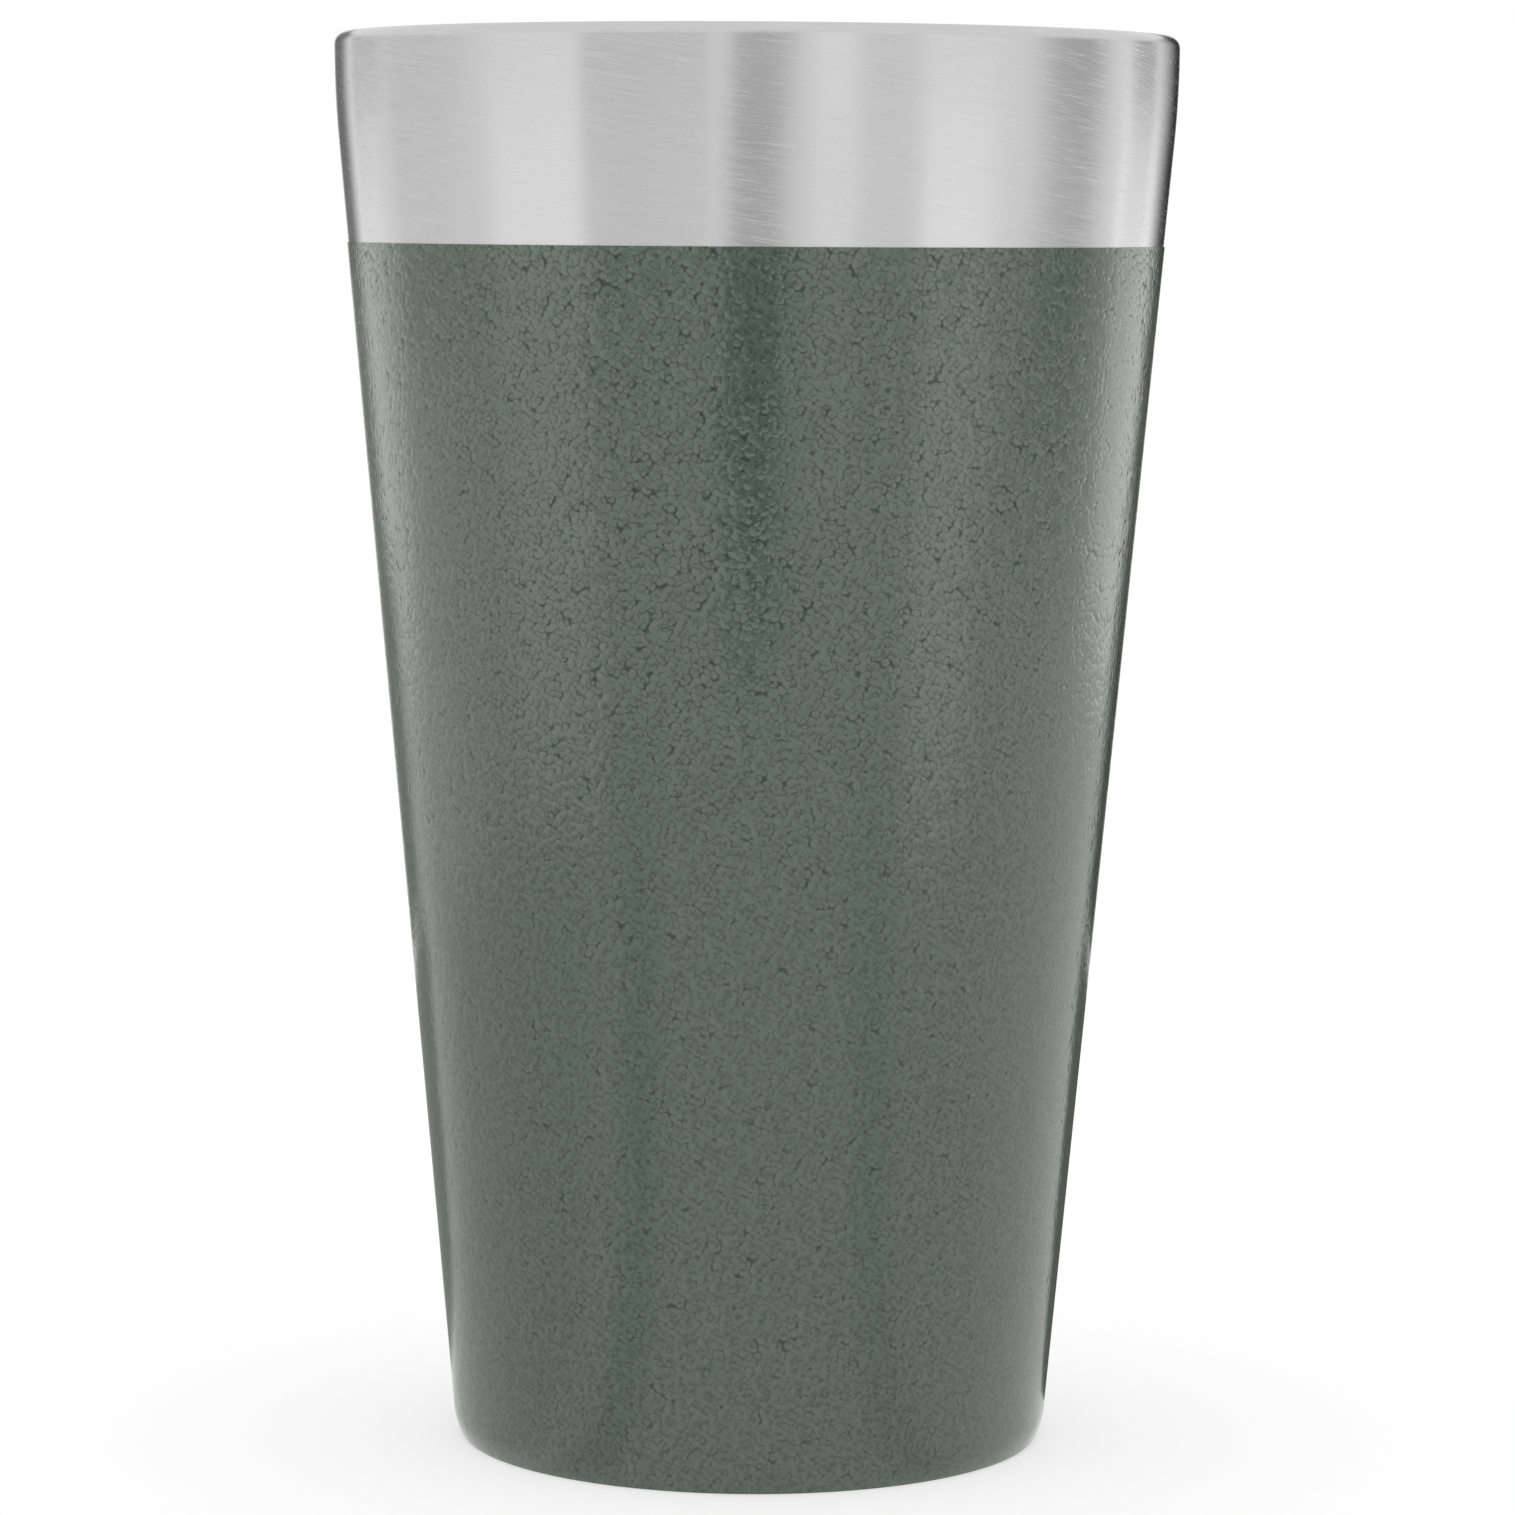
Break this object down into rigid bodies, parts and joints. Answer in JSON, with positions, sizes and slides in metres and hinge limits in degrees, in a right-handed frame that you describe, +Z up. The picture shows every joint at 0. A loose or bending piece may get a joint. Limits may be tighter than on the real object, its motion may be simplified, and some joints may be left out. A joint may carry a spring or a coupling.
{
  "type": "insulated pint cup",
  "caption": "Tapered double-walled steel pint cup with a rolled lip, a bare brushed band at the rim and a green hammertone coat, for beer and other drinks.",
  "frame": {"origin": "centre of the standing ring, on the table", "axes": "+Z up along the cup's axis of revolution; the vacuum getter, hidden inside, lies towards +X"},
  "size_m": [0.0892, 0.0892, 0.15],
  "materials": {
    "brushed_steel": "fine brushed stainless steel, brush lines nearly level round the band",
    "hammertone_green": "satin grey-green hammertone coat of small rounded cells with thin dark creases",
    "liner_steel": "satin stainless steel with turning lines, polished lip",
    "pressed_steel": "plain pressed stainless sheet",
    "solder_glass": "dark opaque solder glass with a smooth meniscus",
    "getter_metal": "matt sintered metal powder",
    "base_steel": "satin stainless steel with turning rings"
  },
  "bodies": {
    "root": {"outer_shell": "brushed_steel", "hammertone_coat": "hammertone_green", "liner_wall": "liner_steel", "liner_floor": "liner_steel", "vacuum_base": "pressed_steel", "seal_bead": "solder_glass", "getter": "getter_metal", "getter_clip": "pressed_steel", "base_cover": "base_steel"}
  },
  "joints": []
}
